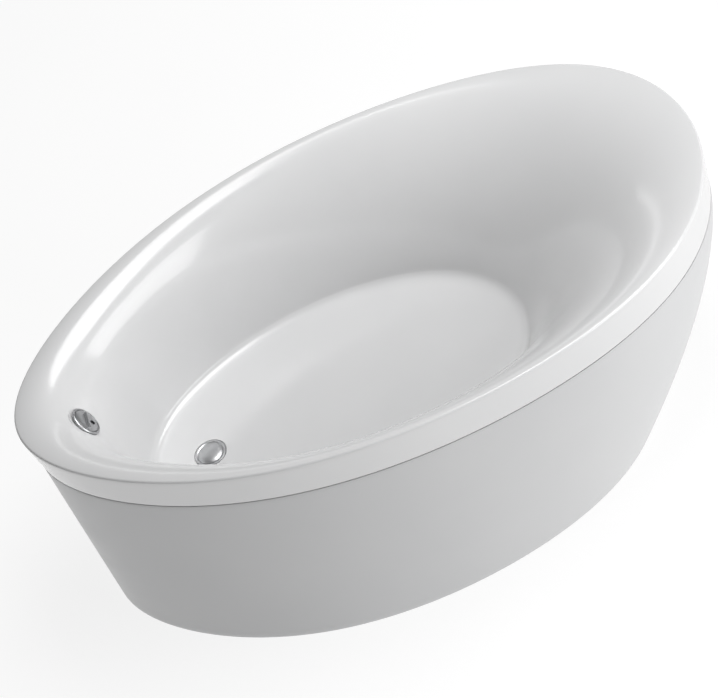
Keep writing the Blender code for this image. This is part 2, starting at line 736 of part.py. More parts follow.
def make_trap():
    bore = TAIL_RADIUS + GAP
    top = -TAIL_DEPTH + GAP
    nut = washer("trap_nut", bore, TAIL_RADIUS + 0.0085, top + 0.001, top + 0.017, GREY_PLASTIC)
    place(nut, WASTE)
    dip_radius = TAIL_RADIUS - BODY_WALL - 0.0005
    dip_end = -TRAP_DEPTH + 0.035
    dip = washer("dip_tube", dip_radius - 0.0015, dip_radius, dip_end, -TAIL_DEPTH + 0.006, WHITE_PLASTIC)
    place(dip, WASTE)
    wall = BODY_WALL
    neck = TAIL_RADIUS + 0.001
    top -= 2 * GAP
    profile = [
        (0.0, -TRAP_DEPTH + wall),
        (TRAP_RADIUS - wall - 0.004, -TRAP_DEPTH + wall),
        (TRAP_RADIUS - wall, -TRAP_DEPTH + wall + 0.004),
        (TRAP_RADIUS - wall, top - 0.010),
        (neck, top - 0.003),
        (neck, top),
        (neck + 0.006, top),
        (TRAP_RADIUS, top - 0.008),
        (TRAP_RADIUS, -TRAP_DEPTH + 0.005),
        (TRAP_RADIUS - 0.005, -TRAP_DEPTH),
        (0.0, -TRAP_DEPTH),
    ]
    trap = place(turned("trap_body", profile, WHITE_PLASTIC, closed=False), WASTE)
    sideways = along_x(OUTLET_DEPTH)
    spigot_radius = OUTLET_RADIUS + 0.0035
    spigot_end = TRAP_RADIUS + 0.042
    spigot = place(cylinder("outlet_spigot", spigot_radius, TRAP_RADIUS - wall / 2, spigot_end), sideways)
    combine(trap, spigot, "UNION")
    bored = cylinder("outlet_bore", OUTLET_RADIUS + 0.0005, TRAP_RADIUS - wall - 0.004, spigot_end + 0.01)
    combine(trap, place(bored, sideways), "DIFFERENCE")
    nut = washer(
        "outlet_nut", spigot_radius + GAP, spigot_radius + 0.006, spigot_end - 0.012, spigot_end + 0.004, GREY_PLASTIC
    )
    place(nut, sideways)
    start_x = WASTE_X + spigot_end - 0.025
    level = FLOOR_Z - OUTLET_DEPTH
    bend_x = start_x + 0.175
    bend_radius = 0.050
    route = [Vector((start_x, 0, level)), Vector((bend_x - bend_radius, 0, level))]
    for step in range(1, 9):
        turn = pi / 2 * step / 8
        route.append(Vector((bend_x - bend_radius * (1 - sin(turn)), 0, level - bend_radius * (1 - cos(turn)))))
    route.append(Vector((bend_x, 0, 0.012)))
    hollow_pipe("outlet_pipe", route, OUTLET_RADIUS, PIPE_WALL, GREY_PLASTIC)


# ---------------------------------------------------------------- overflow


def make_overflow_cover():
    washer("overflow_seal", HOLE_RADIUS + 0.0015, FLANGE_RADIUS - 0.003, GAP, GAP + 0.0015, RUBBER)
    under = 2 * GAP + 0.0015
    bezel = [
        (FLANGE_RADIUS - 0.002, 0.0085),
        (FLANGE_RADIUS, 0.0065),
        (FLANGE_RADIUS, under),
        (NECK_RADIUS, under),
        (NECK_RADIUS, -0.020),
        (NECK_BORE, -0.020),
        (NECK_BORE, 0.0032),
        (0.030, 0.0036),
        (0.0348, 0.0050),
        (0.0362, 0.0085),
    ]
    turned("overflow_bezel", bezel, CHROME, TURNS_SEEN)
    stub = 0.007
    knob = [
        (0.0, 0.0100),
        (0.020, 0.0100),
        (0.029, 0.0092),
        (PLUG_RADIUS, 0.0078),
        (PLUG_RADIUS, 0.0064),
        (0.031, 0.0058),
        (stub, 0.0058),
        (stub, -0.004),
        (0.0, -0.004),
    ]
    knob_item = turned("overflow_knob", knob, CHROME, TURNS_SEEN, closed=False)
    spindle = [
        (0.0, -0.004 - GAP),
        (STEM_RADIUS, -0.004 - GAP),
        (STEM_RADIUS, -ELBOW_DEPTH - GAP),
        (0.0, -ELBOW_DEPTH - GAP),
    ]
    turned("knob_spindle", spindle, BRASS, turns=16, closed=False)
    drum_top = -ELBOW_DEPTH - 2 * GAP
    drum = [(0.0, drum_top), (0.012, drum_top), (0.012, drum_top - 0.008), (0.0, drum_top - 0.008)]
    turned("cable_drum", drum, GREY_PLASTIC, closed=False)
    for name in ("overflow_seal", "overflow_bezel", "overflow_knob", "knob_spindle", "cable_drum"):
        place(bpy.data.objects[name], OVERFLOW)
    grip = box("knob_grip", (0.008, 0.050, 0.010))
    combine(knob_item, place(grip, OVERFLOW @ Matrix.Translation((0, 0, 0.011))), "UNION")
    slot = cylinder("water_slot", 0.007, -0.002, 0.02, turns=20)
    combine(knob_item, place(slot, OVERFLOW @ Matrix.Translation((0.0165, 0, 0))), "DIFFERENCE")


def make_overflow_elbow(port_end):
    top = -BOSS_DEPTH - GAP
    washer("overflow_gasket", HOLE_RADIUS + 0.0015, ELBOW_RADIUS + 0.003, top - 0.002, top, RUBBER)
    place(bpy.data.objects["overflow_gasket"], OVERFLOW)
    top -= 0.002 + GAP
    bore = NECK_RADIUS + 0.0005
    inner = ELBOW_RADIUS - BODY_WALL
    spindle_hole = STEM_RADIUS + RUNNING
    profile = [
        (ELBOW_RADIUS + 0.006, top),
        (ELBOW_RADIUS + 0.006, top - 0.004),
        (ELBOW_RADIUS, top - 0.007),
        (ELBOW_RADIUS, -ELBOW_DEPTH + 0.004),
        (ELBOW_RADIUS - 0.004, -ELBOW_DEPTH),
        (spindle_hole, -ELBOW_DEPTH),
        (spindle_hole, -ELBOW_DEPTH + BODY_WALL),
        (inner - 0.002, -ELBOW_DEPTH + BODY_WALL),
        (inner, -ELBOW_DEPTH + BODY_WALL + 0.003),
        (inner, top - 0.008),
        (bore, top - 0.006),
        (bore, top),
    ]
    elbow = place(turned("overflow_elbow", profile, WHITE_PLASTIC), OVERFLOW)
    middle = OVERFLOW @ Vector((0, 0, -(ELBOW_DEPTH + 0.014) / 2 - 0.002))
    down = Matrix.Translation(middle)
    length = 0.072
    port = place(cylinder("elbow_port", PORT_RADIUS - 0.002, -length, -inner + 0.004), down)
    combine(elbow, port, "UNION")
    bored = place(cylinder("elbow_port_bore", PIPE_RADIUS - 0.001, -length - 0.01, -inner + 0.010), down)
    combine(elbow, bored, "DIFFERENCE")
    end = middle + Vector((0, 0, -length))
    socket = 0.020
    nut_profile = [
        (PORT_RADIUS + 0.003, 0.016),
        (PORT_RADIUS + 0.003, -0.004),
        (PIPE_RADIUS + GAP, -0.004),
        (PIPE_RADIUS + GAP, -GAP),
        (PORT_RADIUS - 0.002 + GAP, -GAP),
        (PORT_RADIUS - 0.002 + GAP, 0.016),
    ]
    place(turned("overflow_nut_top", nut_profile, GREY_PLASTIC), Matrix.Translation(end))
    goal = Vector((WASTE_X - port_end + socket, 0, FLOOR_Z - PORT_DEPTH))
    route = [
        end + Vector((0, 0, -2 * GAP)),
        end + Vector((0.001, 0, -0.025)),
        end + Vector((0.014, 0, -0.090)),
        Vector((end.x + 0.060, 0, goal.z + 0.062)),
        Vector((end.x + 0.125, 0, goal.z + 0.012)),
        Vector((goal.x - socket - 0.030, 0, goal.z)),
        Vector((goal.x - socket, 0, goal.z)),
        goal,
    ]
    hollow_pipe("overflow_pipe", smooth_route(route, 4), PIPE_RADIUS, PIPE_WALL, GREY_PLASTIC)


def make_cable():
    """The sheathed cable that carries the knob's turn down to the lifter."""
    back = -ELBOW_DEPTH - GAP
    profile = [
        (0.006, 0.0),
        (0.006, -GLAND_LENGTH * 0.6),
        (0.004, -GLAND_LENGTH),
        (CABLE_RADIUS * 0.5, -GLAND_LENGTH),
        (CABLE_RADIUS * 0.5, 0.0),
    ]
    top_frame = OVERFLOW @ Matrix.Translation((0, GLAND_OFFSET, back))
    place(turned("cable_gland_top", profile, GREY_PLASTIC, turns=12), top_frame)
    level = FLOOR_Z - PORT_DEPTH
    side = BODY_RADIUS + GAP
    low_frame = Matrix.Translation((WASTE_X, side, level)) @ Matrix.Rotation(pi / 2, 4, "X")
    place(turned("cable_gland_low", profile, GREY_PLASTIC, turns=12), low_frame)
    start = top_frame @ Vector((0, 0, -GLAND_LENGTH - 2 * GAP))
    leaving = top_frame @ Vector((0, 0, -GLAND_LENGTH - 0.006))
    turning = top_frame @ Vector((-0.003, 0.001, -GLAND_LENGTH - 0.013))
    end = Vector((WASTE_X, side + GLAND_LENGTH + 2 * GAP, level))
    route = [
        leaving,
        turning,
        start + Vector((-0.014, 0.006, -0.045)),
        start + Vector((-0.004, 0.016, -0.125)),
        Vector((start.x + 0.060, 0.046, level + 0.055)),
        Vector((start.x + 0.150, 0.066, level + 0.004)),
        Vector((WASTE_X - 0.090, 0.084, level - 0.006)),
        Vector((WASTE_X - 0.030, end.y + 0.026, level - 0.002)),
        Vector((WASTE_X - 0.004, end.y + 0.012, level)),
        Vector((WASTE_X, end.y + 0.005, level)),
    ]
    tube("bowden_cable", [start, *smooth_route(route, 4), end], CABLE_RADIUS, RUBBER)


make_shell()
make_skirt()
make_seam_strip()
make_joining_plates()
make_rails(make_board())
make_feet()
make_waste_cover()
PORT_END = make_waste_body()
make_lifter()
make_trap()
make_overflow_cover()
make_overflow_elbow(PORT_END)
make_cable()
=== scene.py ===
# %% [markdown]
# # A freestanding oval bathtub
# The tub is a vacuum-formed acrylic basin with a turned-down lip, bonded above a tapered skirt.
# The jointed frame is loaded first. It fixes every size and place, so nothing here has to be fitted by eye.

import json
from math import atan2, cos, pi, radians, sin

import bmesh
import bpy
from mathutils import Matrix, Vector


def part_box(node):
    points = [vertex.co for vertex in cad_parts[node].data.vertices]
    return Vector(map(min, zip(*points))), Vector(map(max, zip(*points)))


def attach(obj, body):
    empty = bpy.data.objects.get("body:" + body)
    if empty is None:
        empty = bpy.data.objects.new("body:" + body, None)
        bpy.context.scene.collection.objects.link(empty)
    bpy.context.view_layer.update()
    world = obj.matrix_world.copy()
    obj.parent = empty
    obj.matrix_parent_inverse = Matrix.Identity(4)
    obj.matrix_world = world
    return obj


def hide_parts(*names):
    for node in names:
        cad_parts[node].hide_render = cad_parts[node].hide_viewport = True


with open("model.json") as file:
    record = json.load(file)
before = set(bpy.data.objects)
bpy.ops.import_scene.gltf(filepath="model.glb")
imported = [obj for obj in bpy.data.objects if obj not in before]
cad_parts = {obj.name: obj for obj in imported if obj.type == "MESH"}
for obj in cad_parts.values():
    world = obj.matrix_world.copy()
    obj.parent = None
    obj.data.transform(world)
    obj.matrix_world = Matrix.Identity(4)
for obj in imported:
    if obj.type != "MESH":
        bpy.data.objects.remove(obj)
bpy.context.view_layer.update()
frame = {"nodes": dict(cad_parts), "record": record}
nodes = frame["nodes"]

# %% [markdown]
# ## The camera
# A long lens from a high three-quarter view keeps the oval nearly free of perspective. The camera is
# also rolled, so that the tub runs up to the right. It could be aimed with a Track To constraint, but a
# constraint can't roll, so the camera's axes are worked out from its azimuth, elevation and roll.

# %% Aim the camera
shell_low, shell_high = (Vector(corner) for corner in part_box("tub_shell"))
LENGTH = shell_high.x - shell_low.x
WIDTH = shell_high.y - shell_low.y
HEIGHT = shell_high.z

CAMERA_AZIMUTH = radians(5.61)
CAMERA_ELEVATION = radians(45.59)
CAMERA_ROLL = radians(-27.85)
CAMERA_DISTANCE = 10.565
CAMERA_TARGET = Vector((-0.045, -0.2253, HEIGHT))
CAMERA_LENS = 222.4


def camera_axes(azimuth, elevation, roll):
    """Right, up and back of a camera that looks at its target from this direction."""
    back = Vector((sin(azimuth) * cos(elevation), -cos(azimuth) * cos(elevation), sin(elevation)))
    level = Vector((cos(azimuth), sin(azimuth), 0.0))
    upright = back.cross(level)
    right = level * cos(roll) + upright * sin(roll)
    up = upright * cos(roll) - level * sin(roll)
    return right, up, back


camera_data = bpy.data.cameras.new("camera")
camera_data.lens = CAMERA_LENS
camera_data.sensor_width = 36
camera_data.sensor_fit = "HORIZONTAL"
camera_data.clip_end = 60
camera = bpy.data.objects.new("camera", camera_data)
bpy.context.scene.collection.objects.link(camera)
right, up, back = camera_axes(CAMERA_AZIMUTH, CAMERA_ELEVATION, CAMERA_ROLL)
turned_to = Matrix((right, up, back)).transposed().to_4x4()
camera.matrix_world = Matrix.Translation(CAMERA_TARGET + back * CAMERA_DISTANCE) @ turned_to
bpy.context.scene.camera = camera
print("tub:", round(LENGTH, 3), "x", round(WIDTH, 3), "x", round(HEIGHT, 3), "m")

# %% [markdown]
# ## The outlines
# The rim, the floor of the basin and the foot of the skirt are all egg-shaped, broader toward the head end.
# They could be drawn as three Bezier curves. One formula for an egg is used instead, so that every ring
# of the basin and the skirt has matching points and the skin between them stays even.

# %% Egg outlines of the rim, the floor and the skirt
RIM_EGG = 0.072
RIM_CROWN = 0.125
EDGE_RADIUS = 0.006
LIP_HEIGHT = 0.110
LIP_DRAFT = 0.0135
BASIN_DEPTH = 0.3565
FLOOR_X = -0.162
FLOOR_LENGTH = 1.017
FLOOR_WIDTH = 0.649
FLOOR_EGG = 0.05
BASE_X = -0.150
BASE_LENGTH = 1.470
BASE_WIDTH = 0.957
SKIRT_OFF_FLOOR = 0.002
SKIRT_CURVE = 1.43
SEAM = 0.0030
SEAM_TOP = HEIGHT - LIP_HEIGHT
SEAM_BOTTOM = SEAM_TOP - SEAM
FLOOR_Z = HEIGHT - BASIN_DEPTH


def fullness(angle, egg, crown):
    return sin(angle) * (1 + egg * cos(angle) + crown * cos(angle) ** 3)


RIM_WIDEST = max(fullness(pi * k / 720, RIM_EGG, RIM_CROWN) for k in range(721))
FLOOR_WIDEST = max(fullness(pi * k / 720, FLOOR_EGG, 0.0) for k in range(721))


def rim_outline(angle, inset=0.0):
    wide = fullness(angle, RIM_EGG, RIM_CROWN) / RIM_WIDEST
    return Vector(((LENGTH / 2 - inset) * cos(angle), (WIDTH / 2 - inset) * wide))


def floor_outline(angle, inset=0.0):
    wide = fullness(angle, FLOOR_EGG, 0.0) / FLOOR_WIDEST
    return Vector((FLOOR_X + (FLOOR_LENGTH / 2 - inset) * cos(angle), (FLOOR_WIDTH / 2 - inset) * wide))


def skirt_outline(angle, height):
    share = (SEAM_BOTTOM - height) / (SEAM_BOTTOM - SKIRT_OFF_FLOOR)
    taper = max(share, 0.0) ** SKIRT_CURVE
    length = LENGTH - 2 * LIP_DRAFT
    width = WIDTH - 2 * LIP_DRAFT
    length += (BASE_LENGTH - length) * taper
    width += (BASE_WIDTH - width) * taper
    wide = fullness(angle, RIM_EGG, RIM_CROWN) / RIM_WIDEST
    return Vector((BASE_X * taper + length / 2 * cos(angle), width / 2 * wide))


print("seam at", round(SEAM_BOTTOM, 4), "basin floor at", round(FLOOR_Z, 3))

# %% [markdown]
# ## The wall of the basin
# Hot acrylic sheet drawn over a mould leaves the rim in a wide soft roll and then falls steeply to the
# floor. The roll is widest at the head end, where the bather's neck rests. Each line down the wall is a
# Bezier curve: it starts level at the rim and ends at the wall's lean, and both change smoothly round
# the tub.

# %% The line of the wall
ROLL_HEAD = 0.230
ROLL_SIDE = 0.085
ROLL_FOOT = 0.180
LEAN_HEAD = radians(52)
LEAN_SIDE = radians(80)
LEAN_FOOT = radians(76)
WALL_PULL = 0.16
DISH_DEPTH = 0.014
DISH_WIDTH = 0.060


def by_end(angle, head, side, foot):
    return side + ((head if cos(angle) > 0 else foot) - side) * cos(angle) ** 2


def bezier(t, a, b, c, d):
    return (1 - t) ** 3 * a + 3 * (1 - t) ** 2 * t * b + 3 * (1 - t) * t * t * c + t**3 * d


def basin_wall(angle, t):
    """A point on the wall, from the rim at t = 0 to the edge of the floor at t = 1."""
    start = rim_outline(angle, EDGE_RADIUS)
    end = floor_outline(angle)
    reach = (end - start).length
    depth = BASIN_DEPTH - DISH_DEPTH
    lean = by_end(angle, LEAN_HEAD, LEAN_SIDE, LEAN_FOOT)
    roll = by_end(angle, ROLL_HEAD, ROLL_SIDE, ROLL_FOOT)
    across = bezier(t, 0.0, roll, reach - WALL_PULL * cos(lean), reach)
    down = bezier(t, 0.0, 0.0, depth - WALL_PULL * sin(lean), depth)
    spot = start.lerp(end, across / reach)
    return Vector((spot.x, spot.y, HEIGHT - down))


print("foot end drop at half way:", round(HEIGHT - basin_wall(pi, 0.5).z, 3), "m")

# %% [markdown]
# ## Helpers for the pieces
# Every piece is a mesh object that rides on one of the bodies of the frame. A skin between rings of points
# gives the large forms. Turned fittings come from a half profile and the Screw modifier, as on a lathe.

# %% Piece helpers
AROUND = 288


def add_piece(name, mesh, material, body):
    """Links a finished mesh, gives it its material and lets it ride on a body."""
    piece = bpy.data.objects.new(name, mesh)
    bpy.context.scene.collection.objects.link(piece)
    mesh.materials.clear()
    mesh.materials.append(material)
    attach(piece, body)
    return piece


def skin_between(name, rings, capped=False, closed=False):
    bm = bmesh.new()
    rows = [[bm.verts.new(point) for point in ring] for ring in rings]
    pairs = list(zip(rows, rows[1:]))
    if closed:
        pairs.append((rows[-1], rows[0]))
    for upper, lower in pairs:
        for i in range(len(upper)):
            j = (i + 1) % len(upper)
            bm.faces.new((upper[j], lower[j], lower[i], upper[i]))
    if capped:
        bm.faces.new(rows[-1])
    bm.normal_update()
    mesh = bpy.data.meshes.new(name)
    bm.to_mesh(mesh)
    bm.free()
    return mesh


def ring_of(point_at):
    return [point_at(2 * pi * k / AROUND) for k in range(AROUND)]


def settle(piece, smooth_angle=32):
    """Applies the piece's modifiers and shades it smooth, with its true edges kept crisp."""
    bpy.context.view_layer.update()
    done = piece.evaluated_get(bpy.context.evaluated_depsgraph_get())
    mesh = bpy.data.meshes.new_from_object(done)
    mesh.name = piece.name
    piece.modifiers.clear()
    piece.data = mesh
    mesh.shade_smooth()
    mesh.set_sharp_from_angle(angle=radians(smooth_angle))
    return piece


print("points round each ring:", AROUND)

# %% [markdown]
# ## Finishes
# A finish is never one flat colour. Each has slow changes of tone, fine grain in its bump and uneven gloss.
# An image could carry these, but noise in the object's own space needs no unwrapping and has no seams.
# `uneven` gives a noise that runs between two values, and every finish below is put together from it.


# %% Tools for finishes
def new_finish(name, metallic=0.0):
    material = bpy.data.materials.new(name)
    material.use_nodes = True
    shader = material.node_tree.nodes["Principled BSDF"]
    shader.inputs["Metallic"].default_value = metallic
    return material, shader


def uneven(material, scale, low, high, detail=3.0, stretch=(1, 1, 1)):
    """Noise in object space, spread between two values."""
    tree = material.node_tree
    place = tree.nodes.new("ShaderNodeTexCoord")
    fit = tree.nodes.new("ShaderNodeMapping")
    fit.inputs["Scale"].default_value = stretch
    noise = tree.nodes.new("ShaderNodeTexNoise")
    noise.inputs["Scale"].default_value = scale
    noise.inputs["Detail"].default_value = detail
    spread = tree.nodes.new("ShaderNodeMapRange")
    spread.inputs["From Min"].default_value = 0.3
    spread.inputs["From Max"].default_value = 0.7
    spread.inputs["To Min"].default_value = low
    spread.inputs["To Max"].default_value = high
    tree.links.new(place.outputs["Object"], fit.inputs["Vector"])
    tree.links.new(fit.outputs["Vector"], noise.inputs["Vector"])
    tree.links.new(noise.outputs["Fac"], spread.inputs["Value"])
    return spread.outputs["Result"]


def two_tone(material, shader, factor, dark, light):
    ramp = material.node_tree.nodes.new("ShaderNodeValToRGB")
    ramp.color_ramp.elements[0].color = (*dark, 1)
    ramp.color_ramp.elements[1].color = (*light, 1)
    material.node_tree.links.new(factor, ramp.inputs["Fac"])
    material.node_tree.links.new(ramp.outputs["Color"], shader.inputs["Base Color"])


def relief(material, shader, height, strength, distance):
    bump = material.node_tree.nodes.new("ShaderNodeBump")
    bump.inputs["Strength"].default_value = strength
    bump.inputs["Distance"].default_value = distance
    material.node_tree.links.new(height, bump.inputs["Height"])
    material.node_tree.links.new(bump.outputs["Normal"], shader.inputs["Normal"])


def gloss(material, shader, value):
    material.node_tree.links.new(value, shader.inputs["Roughness"])


# %% [markdown]
# ### Acrylic
# The basin is cast acrylic: a deep gloss with the faintest orange peel, and soft dulling where it is wiped.
# A clear coat over the white gives the two-layer highlight. The skirt is the same sheet with a satin face,
# but its white is set darker than the basin's as painted shade.

# %% White acrylic, gloss and satin
basin_white, shader = new_finish("basin_gloss_acrylic")
two_tone(basin_white, shader, uneven(basin_white, 2.5, 0, 1), (0.700, 0.702, 0.706), (0.728, 0.729, 0.732))
gloss(basin_white, shader, uneven(basin_white, 9, 0.17, 0.24, detail=6))
relief(basin_white, shader, uneven(basin_white, 160, 0, 1), 0.02, 0.0004)
shader.inputs["Coat Weight"].default_value = 0.35
shader.inputs["Coat Roughness"].default_value = 0.09

shaded_skirt_white, shader = new_finish("skirt_satin_acrylic_shaded")
# Painted shade: the skirt's base colour is darker than the basin's, though it is the same white acrylic.
two_tone(shaded_skirt_white, shader, uneven(shaded_skirt_white, 3, 0, 1), (0.600, 0.603, 0.609), (0.625, 0.627, 0.631))
gloss(shaded_skirt_white, shader, uneven(shaded_skirt_white, 12, 0.30, 0.40, detail=6))
relief(shaded_skirt_white, shader, uneven(shaded_skirt_white, 220, 0, 1), 0.04, 0.0005)
print("acrylic finishes:", basin_white.name, shaded_skirt_white.name)

# %% [markdown]
# ### Metals
# The covers are satin chrome plate over brass, with faint wiping marks that stretch one way. The hidden
# rails are zinc plated, which leaves a cloudy grey. The stems are plain brass that darkens a little in
# patches.

# %% Chrome, zinc plate and brass
chrome, shader = new_finish("satin_chrome", metallic=1.0)
two_tone(chrome, shader, uneven(chrome, 30, 0, 1), (0.52, 0.53, 0.54), (0.62, 0.62, 0.63))
gloss(chrome, shader, uneven(chrome, 260, 0.34, 0.44, stretch=(1, 6, 1)))
relief(chrome, shader, uneven(chrome, 700, 0, 1), 0.02, 0.0001)

zinc, shader = new_finish("cloudy_zinc_plate", metallic=1.0)
two_tone(zinc, shader, uneven(zinc, 45, 0, 1, detail=5), (0.42, 0.43, 0.45), (0.66, 0.66, 0.64))
gloss(zinc, shader, uneven(zinc, 90, 0.28, 0.5))
relief(zinc, shader, uneven(zinc, 900, 0, 1), 0.08, 0.0002)

brass, shader = new_finish("plain_brass", metallic=1.0)
two_tone(brass, shader, uneven(brass, 120, 0, 1), (0.46, 0.30, 0.13), (0.74, 0.54, 0.26))
gloss(brass, shader, uneven(brass, 300, 0.2, 0.42))
relief(brass, shader, uneven(brass, 1200, 0, 1), 0.06, 0.0001)
print("metal finishes:", chrome.name, zinc.name, brass.name)

# %% [markdown]
# ### Plastics, rubber and board
# Moulded fittings have a fine spark-eroded grain. Rubber is darker and drier. The board under the floor is
# pressed wood flakes, so its colour comes from small cells and its relief from the same cells.

# %% Moulded plastics, rubber and chipboard
fitting_white, shader = new_finish("moulded_white_plastic")
two_tone(fitting_white, shader, uneven(fitting_white, 18, 0, 1), (0.66, 0.66, 0.63), (0.76, 0.76, 0.74))
gloss(fitting_white, shader, uneven(fitting_white, 60, 0.38, 0.55))
relief(fitting_white, shader, uneven(fitting_white, 1500, 0, 1), 0.15, 0.0002)

fitting_grey, shader = new_finish("moulded_grey_plastic")
two_tone(fitting_grey, shader, uneven(fitting_grey, 22, 0, 1), (0.34, 0.35, 0.37), (0.45, 0.46, 0.48))
gloss(fitting_grey, shader, uneven(fitting_grey, 70, 0.42, 0.6))
relief(fitting_grey, shader, uneven(fitting_grey, 1400, 0, 1), 0.18, 0.0002)

rubber, shader = new_finish("matt_black_rubber")
two_tone(rubber, shader, uneven(rubber, 40, 0, 1), (0.018, 0.018, 0.019), (0.045, 0.045, 0.046))
gloss(rubber, shader, uneven(rubber, 120, 0.65, 0.9))
relief(rubber, shader, uneven(rubber, 900, 0, 1), 0.2, 0.0003)

chipboard, shader = new_finish("pressed_chipboard")
flakes = chipboard.node_tree.nodes.new("ShaderNodeTexVoronoi")
flakes.inputs["Scale"].default_value = 240
where = chipboard.node_tree.nodes.new("ShaderNodeTexCoord")
chipboard.node_tree.links.new(where.outputs["Object"], flakes.inputs["Vector"])
two_tone(chipboard, shader, flakes.outputs["Color"], (0.30, 0.19, 0.09), (0.66, 0.50, 0.30))
gloss(chipboard, shader, uneven(chipboard, 50, 0.75, 0.95))
relief(chipboard, shader, flakes.outputs["Distance"], 0.3, 0.0008)
print("other finishes:", fitting_white.name, fitting_grey.name, rubber.name, chipboard.name)

# %% [markdown]
# ## Where the waste and the overflow sit
# The waste lies in the flat of the floor near the foot end. The overflow sits on the foot-end wall, so
# its own frame leans with the wall and its Z points into the basin. The height is found by halving the
# interval.

# %% Frames of the waste and the overflow
WASTE_X = -0.516
OVERFLOW_DROP = 0.080


def overflow_frame():
    low, high = 0.0, 1.0
    for _ in range(40):
        middle = (low + high) / 2
        if HEIGHT - basin_wall(pi, middle).z < OVERFLOW_DROP:
            low = middle
        else:
            high = middle
    along = basin_wall(pi, low + 0.01) - basin_wall(pi, low - 0.01)
    return Matrix.Translation(basin_wall(pi, low)) @ Matrix.Rotation(atan2(-along.z, along.x), 4, "Y")


WASTE = Matrix.Translation((WASTE_X, 0, FLOOR_Z))
OVERFLOW = overflow_frame()
print("overflow centre:", [round(v, 4) for v in OVERFLOW.translation])

# %% [markdown]
# ## The basin
# One sheet makes the lip, the rim, the wall and the floor, so it is one piece here too. The rings run
# from the foot of the lip, over a small rounded edge, down the wall and across the dished floor, and
# Solidify gives the sheet its thickness. Booleans then cut the two seats and holes, because the
# fittings are fitted that way.

# %% Form the basin
SHELL_WALL = 0.006
SEAT_RADIUS = 0.043
SEAT_DEPTH = 0.005
HOLE_RADIUS = 0.026
BOSS_RADIUS = 0.046
BOSS_DEPTH = 0.012
DISH_FALL = 5.5

rings = []
for k in range(8):
    share = 1 - k / 7
    height = HEIGHT - EDGE_RADIUS - (LIP_HEIGHT - EDGE_RADIUS) * share
    rings.append(ring_of(lambda angle: (*rim_outline(angle, LIP_DRAFT * share), height)))
for k in range(1, 8):
    turn = pi / 2 * k / 8
    height = HEIGHT - EDGE_RADIUS * (1 - sin(turn))
    rings.append(ring_of(lambda angle: (*rim_outline(angle, EDGE_RADIUS * (1 - cos(turn))), height)))
for k in range(49):
    rings.append(ring_of(lambda angle: basin_wall(angle, k / 48)))
for k in range(1, 15):
    share = (k / 14) ** 1.6
    height = FLOOR_Z + DISH_DEPTH * (1 - share) ** DISH_FALL
    rings.append(ring_of(lambda angle: (*floor_outline(angle, DISH_WIDTH * share), height)))

basin = add_piece("basin", skin_between("basin", rings, capped=True), basin_white, "tub")
sheet = basin.modifiers.new("sheet", "SOLIDIFY")
sheet.thickness = SHELL_WALL
sheet.offset = -1.0
sheet.use_even_offset = True
print("basin rings:", len(rings))

# %% [markdown]
# ### Seats and holes
# Each cutter is a short cylinder in the frame of its fitting. A boss is added under the sheet first,
# so that the cut seat doesn't leave the floor too thin.


# %% Cut the seats and holes
def tool_cylinder(name, radius, low, high, where):
    bm = bmesh.new()
    bmesh.ops.create_cone(bm, cap_ends=True, segments=96, radius1=radius, radius2=radius, depth=high - low)
    bmesh.ops.translate(bm, verts=bm.verts, vec=(0, 0, (low + high) / 2))
    mesh = bpy.data.meshes.new(name)
    bm.to_mesh(mesh)
    bm.free()
    tool = bpy.data.objects.new(name, mesh)
    bpy.context.scene.collection.objects.link(tool)
    tool.matrix_world = where
    tool.hide_render = True
    return tool


def combine(piece, tool, operation):
    step = piece.modifiers.new(operation.lower(), "BOOLEAN")
    step.operation = operation
    step.object = tool
    step.solver = "EXACT"


tools = []
for where, seat in ((WASTE, SEAT_DEPTH), (OVERFLOW, 0.0)):
    steps = (
        ("UNION", BOSS_RADIUS, -BOSS_DEPTH, -(SHELL_WALL + seat) / 2),
        ("DIFFERENCE", SEAT_RADIUS, -seat, 0.02),
        ("DIFFERENCE", BOSS_RADIUS + 0.003, -BOSS_DEPTH - 0.02, -BOSS_DEPTH),
        ("DIFFERENCE", HOLE_RADIUS, -0.04, 0.02),
    )
    for operation, radius, low, high in steps:
        tool = tool_cylinder("cutting_tool", radius, low, high, where)
        combine(basin, tool, operation)
        tools.append(tool)
settle(basin, 40)
for tool in tools:
    bpy.data.objects.remove(tool, do_unlink=True)
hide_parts("tub_shell")
print("basin faces:", len(basin.data.polygons))

# %% [markdown]
# ## The skirt
# The skirt is a second formed sheet, full at the seam and tapering to a smaller oval at the floor.
# It could be a scaled copy of one ring, but the real sheet also leans over toward the foot end as it falls,
# so each ring takes its own length, width and middle.

# %% Form the skirt
SKIRT_WALL = 0.005
rings = []
for k in range(41):
    height = SKIRT_OFF_FLOOR + (SEAM_BOTTOM - SKIRT_OFF_FLOOR) * k / 40
    rings.append(ring_of(lambda angle: (*skirt_outline(angle, height), height)))
skirt = add_piece("skirt", skin_between("skirt", rings), shaded_skirt_white, "tub")
sheet = skirt.modifiers.new("sheet", "SOLIDIFY")
sheet.thickness = SKIRT_WALL
sheet.offset = -1.0
sheet.use_even_offset = True
edge = skirt.modifiers.new("eased_edges", "BEVEL")
edge.width = 0.0008
edge.segments = 2
edge.limit_method = "ANGLE"
edge.angle_limit = radians(50)
settle(skirt)
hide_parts("skirt_panel")
print("skirt faces:", len(skirt.data.polygons))

# %% [markdown]
# ## The seam strip
# A thin dark strip sits just inside the joint between the lip and the skirt and reads as a fine line.
# It is a closed loop of small rectangular section, offset square to the outline at every point.

# %% Lay the seam strip
STRIP_SET_BACK = 0.0015
STRIP_DEPTH = 0.003
STRIP_CLEAR = 0.0014
GAP = 0.0003


def behind_lip(angle, height, depth):
    inset = LIP_DRAFT * (HEIGHT - height) / LIP_HEIGHT
    along = rim_outline(angle + 0.001, inset) - rim_outline(angle - 0.001, inset)
    inward = Vector((-along.y, along.x)).normalized()
    return (*(rim_outline(angle, inset) + inward * depth), height)


